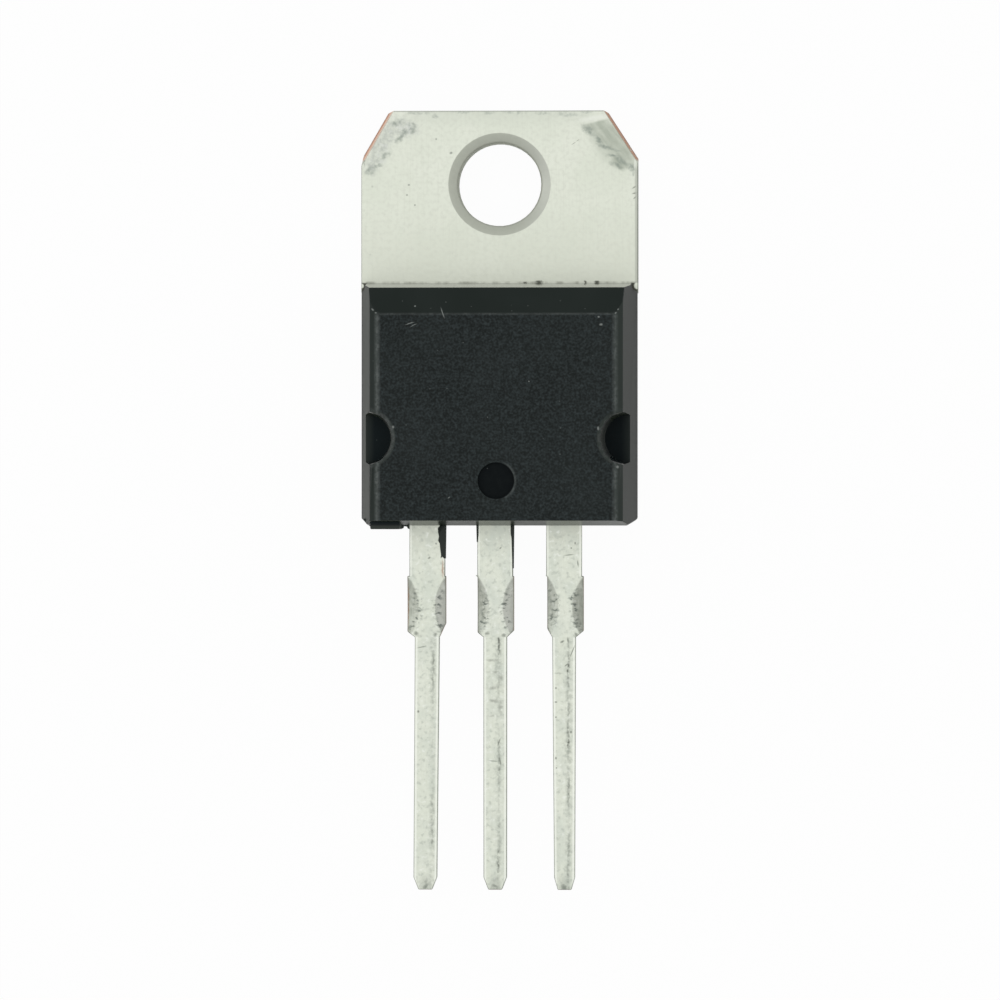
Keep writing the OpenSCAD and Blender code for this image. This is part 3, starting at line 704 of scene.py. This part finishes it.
def mould_grain(m):
    """The black base and the pale pits of the front."""
    cloud = grain(m.mm, 0.5, 3.0)
    m.fine = grain(m.mm, FINE_PITS_PER_MM, 4.0)
    m.coarse = grain(m.mm, COARSE_PITS_PER_MM, 3.0)
    m.pits = plus(times(m.fine, 0.7), times(m.coarse, 0.3))
    tone = tint(step(cloud, 0.35, 0.65), colour("#1b201f"), colour("#212625"))
    return paint(tone, "#394142", step(m.pits, 0.42, 0.7), m.eroded)


def sunk_floors(m, tone):
    """Floors painted dark as shade with dust specks, and painted lighter in the pockets and at their
    open lip as painted light.
    """
    # Painted shade: the sunk floors are painted almost black
    tone = paint(tone, "#0b1113", m.sunk)
    tone = paint(tone, "#1c2020", m.sunk, step(m.coarse, 0.45, 0.7), 0.2)
    # Painted light: the pockets' floors, more on the left, and their open lip are painted lighter
    lit_pocket_floor = times(m.sunk, step(m.x_far, 2.0, 3.0))
    tone = paint(tone, "#1d2628", lit_pocket_floor, between(0.35, 0.8, m.to_left))
    at_lip = step(m.x_far, 4.5, 4.9)
    return paint(tone, "#434944", lit_pocket_floor, at_lip, between(0.4, 0.8, m.to_left))


print("micrometres from pit to pit:", round(1000 / FINE_PITS_PER_MM), "and",
      round(1000 / COARSE_PITS_PER_MM))

# %% [markdown]
# ## Bevels and walls
# The bevels and walls catch the light of the paper, and they are painted lighter as well: the side
# walls most on the left, where the lamp stands, and the side bevels most on the right. Bands of
# painted shade darken the side walls low down, and high up on the left. The side walls are satin
# with faint streaks along the block, where the hot part slid out of the mould, and the thin flash
# below the block is greyer, because light comes through it.

# %% Bevels and walls
SPECK_CELLS_PER_MM = 3.4


def wall_tones(m, tone):
    """Painted light on the bevels and side walls, streaks and bands of painted shade on the side
    walls, and the flash and end wall at the bottom.
    """
    # Painted light: the bevels and the slope are painted greyer, the side bevels most on the right
    tilted = times(step(m.facing[2], 0.95, 0.9), step(m.facing[2], 0.4, 0.5))
    tone = paint(tone, "#2b3630", tilted, 0.3)
    bevel_light_share = between(0.2, 0.5, m.to_right)
    tone = paint(tone, "#3e4541", tilted, step(m.sideways, 0.4, 0.5), bevel_light_share)
    # Painted light: the side walls are painted lighter, much more on the left, where the lamp stands
    on_side = step(m.sideways, 0.85, 0.95)
    tone = paint(tone, "#4c504a", on_side, between(0.35, 0.85, m.to_left))
    slid = step(grain(m.mm, 1.0, 3.0, (1.0, 0.4, 13.0)), 0.4, 0.65)
    tone = paint(tone, "#252825", slid, on_side, 0.25)
    upper_left = times(step(m.z, 3.7, 4.3), m.to_left)
    shaded = largest(band(m.z, 1.2, 1.9, 0.15), upper_left)
    tone = paint(tone, "#1b1f1b", shaded, on_side, 0.5)
    on_flash = step(m.y, BODY_BOTTOM + 0.02, BODY_BOTTOM - 0.02)
    tone = paint(tone, "#373d38", on_flash, 0.9)
    above_flash = step(m.y, BODY_BOTTOM - 0.02, BODY_BOTTOM + 0.02)
    return paint(tone, "#26301f", step(m.facing[1], -0.6, -0.8), above_flash, 0.6)


def filler_specks(m, tone):
    """Filler grains that broke out leave pale specks."""
    cells = add("ShaderNodeTexVoronoi", {"Vector": m.mm, "Scale": SPECK_CELLS_PER_MM,
                                         "Randomness": 1.0})
    drawn = add("ShaderNodeSeparateColor", {0: cells.outputs["Color"]}).outputs[0]
    broken_out = step(cells.outputs["Distance"], 0.09, 0.03)
    return paint(tone, "#8b908d", broken_out, step(drawn, 0.78, 0.8), 0.42)


print("a cell of the filler's specks is", round(1 / SPECK_CELLS_PER_MM, 2), "mm wide")

# %% [markdown]
# ## Rubbed hips and rims
# Where the front turns into a bevel, and round the pockets and the mark, the black is rubbed to grey
# from lying in its tube with others, and the same grey stands for the highlight that these edges
# catch, so it is partly a painted highlight. The wear follows the edges by distance, and two noises
# make it uneven. Along the left side it is a little stronger than along the right.

# %% Rubbed hips and rims, with painted highlights
def rubbed_and_highlit_edges(m, tone):
    """Grey wear and painted highlight on the front's hips and round its recesses, kept on m for the
    roughness.
    """
    uneven = times(step(grain(m.mm, 2.6, 4.0), 0.3, 0.7), step(grain(m.mm, 8.0, 3.0), 0.38, 0.6))
    side_wear_and_highlight = times(band(m.x_far, SIDE_HIP - 0.07, SIDE_HIP + 0.08, 0.06),
                      step(m.y, SLOPE_HIP + 0.1, SLOPE_HIP - 0.1), between(0.8, 1.0, m.to_left))
    slope_wear_and_highlight = times(band(m.y, SLOPE_HIP - 0.03, SLOPE_HIP + 0.03, 0.03),
                       step(m.x_far, SIDE_HIP, SIDE_HIP - 0.05), 0.55)
    from_pocket = distance(m.x_far, m.y, POCKET_MIDDLE)
    rim_wear_and_highlight = times(band(from_pocket, POCKET_RIM - 0.15, POCKET_RIM - 0.02, 0.04),
                     between(0.12, 0.52, m.to_left))
    from_mark = distance(m.x, m.y, MARK_MIDDLE)
    mark_wear_and_highlight = times(band(from_mark, MARK_RIM, MARK_RIM + 0.07, 0.03), step(m.x, 0.2, 0.5), 0.7)
    m.worn = times(largest(side_wear_and_highlight, slope_wear_and_highlight, rim_wear_and_highlight, mark_wear_and_highlight), m.high,
                   between(0.35, 1.0, uneven), step(m.facing[2], 0.15, 0.3))
    # Grey wear and painted highlight along the hips and rims
    return paint(tone, "#737977", m.worn, 0.8)


print("the pockets' rims are", round(2 * POCKET_RIM, 2), "mm wide and the mark's",
      round(2 * MARK_RIM, 2))

# %% [markdown]
# ## Chips and scratches
# A few chips and scratches are placed one by one, because handling leaves them at corners and edges
# and not evenly. The top edge of the wall over the tab is brown, where the mould shuts on the strip,
# and two notches beside the strip's ears are painted black as shade in their recesses.

# %% Chips and scratches
CHIPS = [(-4.47, -4.7, 0.07, 0.035, -40.0), (-4.35, -4.82, 0.05, 0.03, -20.0),
         (4.42, -4.7, 0.04, 0.03, 40.0), (4.33, -4.83, 0.05, 0.035, 30.0),
         (-4.48, -4.2, 0.05, 0.04), (-3.4, -4.35, 0.03, 0.07), (-2.93, -4.57, 0.04, 0.035),
         (2.33, -4.35, 0.035, 0.06), (-1.93, -4.82, 0.025, 0.24, 20.0),
         (-3.12, -5.2, 0.2, 0.022, 16.0), (-2.98, -5.27, 0.16, 0.016, 28.0),
         (2.67, -4.2, 0.03, 0.03), (3.72, -4.97, 0.05, 0.04), (3.8, -5.25, 0.07, 0.05),
         (-3.72, -8.95, 0.05, 0.06), (3.7, -9.0, 0.05, 0.08), (4.4, -10.4, 0.06, 0.06),
         (1.2, -7.3, 0.03, 0.03), (-1.7, -11.5, 0.05, 0.02, 40.0)]
EAR_NOTCH_SHADE = [(-4.96, -3.86, 0.07, 0.17), (4.93, -3.84, 0.08, 0.24)]


def handling_marks(m, tone):
    """Chips and scratches, the brown line over the tab, and the notches beside the ears painted
    black as shade.
    """
    chipped = times(patches(shaken(m.mm, 9.0, 0.05), CHIPS), m.high)
    tone = paint(tone, "#969b98", chipped, 0.75)
    on_slope = band(m.y, BODY_TOP - 0.31, BODY_TOP - 0.15, 0.02)
    tone = paint(tone, "#4c3f2a", on_slope, step(m.z, 4.05, 4.35), 0.8)
    # Painted shade: the notches beside the ears are painted black
    return paint(tone, "#0e100b", patches(m.mm, EAR_NOTCH_SHADE), step(m.z, 3.0, 2.8), 0.9)


print("chips and scratches:", len(CHIPS))

# %% [markdown]
# ## Four finishes from one compound
# The compound is the same everywhere, and only the mould differs: its front is eroded, the long
# sides are satin, the wall over the tab is polished and mirrors it, and the wall over the leads is
# finely blasted. So one function makes all four, and they differ in roughness and gloss alone.

# %% Finishes of the moulding
PIT_DEPTH = 0.012


def moulding_finish(name, roughness, specular_level):
    """The compound as one kind of mould wall leaves it."""
    m = begin_compound(name)
    tone = mould_grain(m)
    for more in (sunk_floors, wall_tones, filler_specks, rubbed_and_highlit_edges, handling_marks):
        tone = more(m, tone)
    rough = plus(roughness, times(m.eroded, 0.45), times(m.sunk, 0.6), times(m.fine, 0.06),
                 times(m.worn, 0.2))
    relief = times(m.pits, largest(m.eroded, 0.03))
    bump = add("ShaderNodeBump", {"Strength": 0.5, "Distance": PIT_DEPTH * MM, "Height": relief})
    shader = add("ShaderNodeBsdfPrincipled", {
        "Base Color": tone, "Roughness": rough, "IOR": 1.5,
        "Specular IOR Level": specular_level, "Normal": bump.outputs[0]})
    m.tree.links.new(shader.outputs[0], m.out.inputs[0])
    return m.material


compound_front = moulding_finish("epoxy_compound_eroded_front", 0.15, 0.12)
compound_wall = moulding_finish("epoxy_compound_polished_wall", 0.06, 0.75)
compound_side = moulding_finish("epoxy_compound_satin_side", 0.5, 0.25)
compound_end = moulding_finish("epoxy_compound_blasted_end_wall", 0.25, 0.4)
print("compound nodes:", len(compound_front.node_tree.nodes))

# %% [markdown]
# ## The sealed pieces
# The chip, its solder and the bond wires are inside the moulding and never show, but the part
# keeps them for cut-away pictures, so each has the finish of its real material.

# %% Silicon, solder and wire
def sealed_material(name, low, high, metallic, roughness, scale, stretch):
    """A simple finish: a colour that varies between two, with fine grain in its roughness."""
    material, tree, out, mm = new_material(name)
    lines = grain(mm, scale, 3.0, stretch)
    rough = plus(roughness, times(lines, 0.1))
    shader = add("ShaderNodeBsdfPrincipled",
                 {"Base Color": tint(step(lines, 0.4, 0.6), colour(low), colour(high)),
                  "Metallic": metallic, "Roughness": rough})
    tree.links.new(shader.outputs[0], out.inputs[0])
    return material


silicon = sealed_material("polished_silicon", "#4a4f58", "#565b66", 0.0, 0.08, 2.0, (1.0, 1.0, 1.0))
solder = sealed_material("dull_soft_solder", "#8e9092", "#a2a4a5", 1.0, 0.4, 5.0, (1.0, 1.0, 1.0))
wire = sealed_material("drawn_aluminium_wire", "#d3d5d8", "#dfe1e3", 1.0, 0.25, 8.0,
                       (1.0, 0.1, 1.0))

FINISHES = {"heat_sink_frame": plate_tab, "adjust_lead": plate_leads, "input_lead": plate_leads,
            "moulded_body": compound_wall, "silicon_die": silicon, "die_attach_solder": solder,
            "adjust_bond_wire": wire, "output_bond_wire_1": wire, "output_bond_wire_2": wire,
            "input_bond_wire_1": wire, "input_bond_wire_2": wire}
for name, finish in FINISHES.items():
    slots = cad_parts[name].data.materials
    slots.clear()
    slots.append(finish)
print("finished nodes:", len(FINISHES))

# %% [markdown]
# ## Edges that are not knife sharp
# A stamped strip has edges that the die rolled over by a few hundredths of a millimetre, and a
# mould has small radii too. Sharp computer edges would hide this: a rounded edge catches one thin
# line of light. Each visible node gets a copy whose outside edges are bevelled, which then stands
# for the node. First come the two functions that choose edges on it.

# %% Edges that turn
def edges_to_round(piece, sharper_than, chosen):
    """Selects the edges that turn outwards by more than an angle and that a test accepts."""
    bpy.ops.mesh.select_mode(type="EDGE")
    bpy.ops.mesh.select_all(action="DESELECT")
    mesh = bmesh.from_edit_mesh(piece.data)
    count = 0
    for edge in mesh.edges:
        if len(edge.link_faces) != 2 or not edge.is_convex:
            continue
        sharp = edge.calc_face_angle(0.0) > math.radians(sharper_than)
        if sharp and chosen([v.co / MM for v in edge.verts]):
            edge.select_set(True)
            count += 1
    bmesh.update_edit_mesh(piece.data)
    return count


def crisp_ring(piece):
    """Keeps the coined ring's outer edge crisp: it turns by so little that it would be smoothed."""
    mesh = bmesh.from_edit_mesh(piece.data)
    bpy.ops.mesh.select_all(action="DESELECT")
    for edge in mesh.edges:
        edge.select_set(all(abs(v.co.xy.length / MM - RING_R) < 0.01
                            and v.co.z / MM > TAB_FRONT - 0.01 for v in edge.verts))
    bmesh.update_edit_mesh(piece.data)
    bpy.ops.mesh.mark_sharp()


print("radius of the ring that stays crisp, mm:", RING_R)

# %% [markdown]
# ## A copy with rounded edges
# The copy's loose triangles are merged and its flat ones dissolved first, because a bevel follows
# edges, and a triangle's edge across a flat face isn't one. Normals are weighted by face
# afterwards, so that the large faces stay flat and only the roundings turn the light.

# %% A rounded copy of a node
MERGE_WITHIN = 0.0005 * MM
FLAT_WITHIN, SMOOTH_WITHIN = math.radians(0.4), math.radians(34)


def rounded_copy(name, node, width, sharper_than, chosen):
    """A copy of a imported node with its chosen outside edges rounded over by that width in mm."""
    piece = bpy.data.objects.new(name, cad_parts[node].data.copy())
    bpy.context.scene.collection.objects.link(piece)
    bpy.ops.object.select_all(action="DESELECT")
    bpy.context.view_layer.objects.active = piece
    piece.select_set(True)
    bpy.ops.object.mode_set(mode="EDIT")
    bpy.ops.mesh.select_all(action="SELECT")
    bpy.ops.mesh.remove_doubles(threshold=MERGE_WITHIN)
    bpy.ops.mesh.dissolve_limited(angle_limit=FLAT_WITHIN)
    count = edges_to_round(piece, sharper_than, chosen)
    bpy.ops.mesh.bevel(offset=width * MM, segments=3, affect="EDGES", clamp_overlap=False)
    crisp_ring(piece)
    bpy.ops.object.mode_set(mode="OBJECT")
    bpy.ops.object.shade_smooth_by_angle(angle=SMOOTH_WITHIN, keep_sharp_edges=True)
    bpy.ops.object.modifier_add(type="WEIGHTED_NORMAL")
    piece.modifiers[-1].keep_sharp = True
    bpy.ops.object.modifier_apply(modifier=piece.modifiers[-1].name)
    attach(piece, "root")
    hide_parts(node)
    print(name, "edges rounded:", count, "faces:", len(piece.data.polygons))
    return piece


print("smoothed below, degrees:", round(math.degrees(SMOOTH_WITHIN)))

# %% [markdown]
# ## Which edges are rounded
# The strip's edges are rounded only where they show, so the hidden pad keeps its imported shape. On
# the block the long edges are rounded. The thin flash would vanish if it were, and the pockets'
# rims are crisp on the real part.

# %% The four rounded copies
METAL_EDGE, LEAD_EDGE, MOULD_EDGE = 0.035, 0.03, 0.04
METAL_SHARP, MOULD_SHARP = 25, 20


def outside_metal(ends):
    """True where an edge of the strip shows beyond the moulding."""
    return max(e.y for e in ends) > BODY_TOP + 0.01 or min(e.y for e in ends) < BODY_BOTTOM - 0.01


def long_moulding_edge(ends):
    """True for the block's long edges, and not for the thin flash, the pockets or the ears' gaps."""
    in_flash = all(e.y < BODY_BOTTOM + 0.3 and 2.4 < e.z < 2.95 for e in ends)
    lit_pocket_floor = all(math.dist((abs(e.x), e.y), POCKET_MIDDLE) < POCKET_RIM + 0.05 for e in ends)
    return (ends[0] - ends[1]).length > 0.3 and not in_flash and not lit_pocket_floor


tab = rounded_copy("tab_and_middle_lead", "heat_sink_frame", METAL_EDGE, METAL_SHARP, outside_metal)
left_lead = rounded_copy("left_lead", "adjust_lead", LEAD_EDGE, METAL_SHARP, outside_metal)
right_lead = rounded_copy("right_lead", "input_lead", LEAD_EDGE, METAL_SHARP, outside_metal)
block = rounded_copy("moulding", "moulded_body", MOULD_EDGE, MOULD_SHARP, long_moulding_edge)

# %% [markdown]
# ## Which face has which finish
# The strip changes from the tab's finish to the leads' in the middle of the moulding, where nobody
# sees it. On the block, the way a face points tells which wall of the mould made it.

# %% Finishes on the copies
tab.data.materials.append(plate_leads)
for face in tab.data.polygons:
    face.material_index = 1 if face.center.y / MM < (BODY_TOP + BODY_BOTTOM) / 2 else 0

block.data.materials.clear()
for finish in (compound_wall, compound_front, compound_side, compound_end):
    block.data.materials.append(finish)
for face in block.data.polygons:
    towards = face.normal
    if towards.z > 0.5:
        face.material_index = 1
    elif abs(towards.x) > 0.6:
        face.material_index = 2
    elif towards.y < -0.6:
        face.material_index = 3
    else:
        face.material_index = 0
print("faces of the front:", sum(face.material_index == 1 for face in block.data.polygons))

# %% [markdown]
# ## The table
# The part lies on white paper, as in a product picture. The paper shows almost pure white to the
# camera, yet a part of its shading stays, so that the soft shadow under the leads and beside the
# block still grounds the part.

# %% Paper
PAPER_SHOWN, PAPER_IN_GLOSS = 0.965, 0.12

bpy.ops.object.select_all(action="DESELECT")
bpy.ops.mesh.primitive_plane_add(size=3.0, location=(0.0, 0.0, -0.02 * MM))
paper = bpy.context.object
paper.name = "paper"
white_paper, tree, out, mm = new_material("white_paper")
rays = put(tree, "ShaderNodeLightPath").outputs
shown = largest(times(rays["Is Camera Ray"], PAPER_SHOWN),
                times(rays["Is Glossy Ray"], PAPER_IN_GLOSS),
                times(rays["Is Transmission Ray"], PAPER_SHOWN))
fibres = grain(mm, 0.8, 3.0)
diffuse = add("ShaderNodeBsdfDiffuse",
              {"Color": tint(fibres, colour("#f4f4f4"), colour("#f9f9f9"))})
glow = put(tree, "ShaderNodeEmission", {"Color": (1.0, 1.0, 1.0, 1.0), "Strength": 1.0})
mixed = add("ShaderNodeMixShader", {0: shown, 1: diffuse.outputs[0], 2: glow.outputs[0]})
tree.links.new(mixed.outputs[0], out.inputs[0])
paper.data.materials.append(white_paper)
print("the paper's side, m:", round(paper.dimensions.x, 1))

# %% [markdown]
# ## The light
# A large soft light hangs over the part, and a smaller one stands to its left, which is why the
# block's right wall is the darker one; the side walls are painted lighter too, the left one more.
# The room round them is a plain pale grey, because metal shows the room more than the lamps.

# %% Lights
LIGHTS = {"overhead": ((-0.02, 0.02, 0.42), 0.36, 0.52),
          "from_the_left": ((-0.32, 0.06, 0.24), 0.12, 1.6)}
ROOM_BRIGHTNESS = 0.62


def soft_light(name, place, size, radiance):
    """A square area light that faces the part. Its power follows from its size and radiance."""
    data = bpy.data.lights.new(name, "AREA")
    data.shape = "SQUARE"
    data.size = size
    data.energy = radiance * math.pi * size * size
    lamp = bpy.data.objects.new(name, data)
    bpy.context.scene.collection.objects.link(lamp)
    lamp.location = place
    lamp.rotation_euler = (VIEW_CENTRE - Vector(place)).to_track_quat("-Z", "Y").to_euler()
    return lamp


for name, (place, size, radiance) in LIGHTS.items():
    lamp = soft_light(name, place, size, radiance)
    print(name, "power, W:", round(lamp.data.energy, 3))

world = bpy.data.worlds.new("studio")
bpy.context.scene.world = world
world.use_nodes = True
tree = world.node_tree
tree.nodes.clear()
out = put(tree, "ShaderNodeOutputWorld")
rays = put(tree, "ShaderNodeLightPath").outputs
room = put(tree, "ShaderNodeBackground", {"Color": colour("#ffffff"), "Strength": ROOM_BRIGHTNESS})
backdrop = put(tree, "ShaderNodeBackground", {"Color": colour("#ffffff"), "Strength": 1.0})
mixed = add("ShaderNodeMixShader",
            {0: rays["Is Camera Ray"], 1: room.outputs[0], 2: backdrop.outputs[0]})
tree.links.new(mixed.outputs[0], out.inputs[0])
bpy.context.scene.view_settings.view_transform = "Standard"
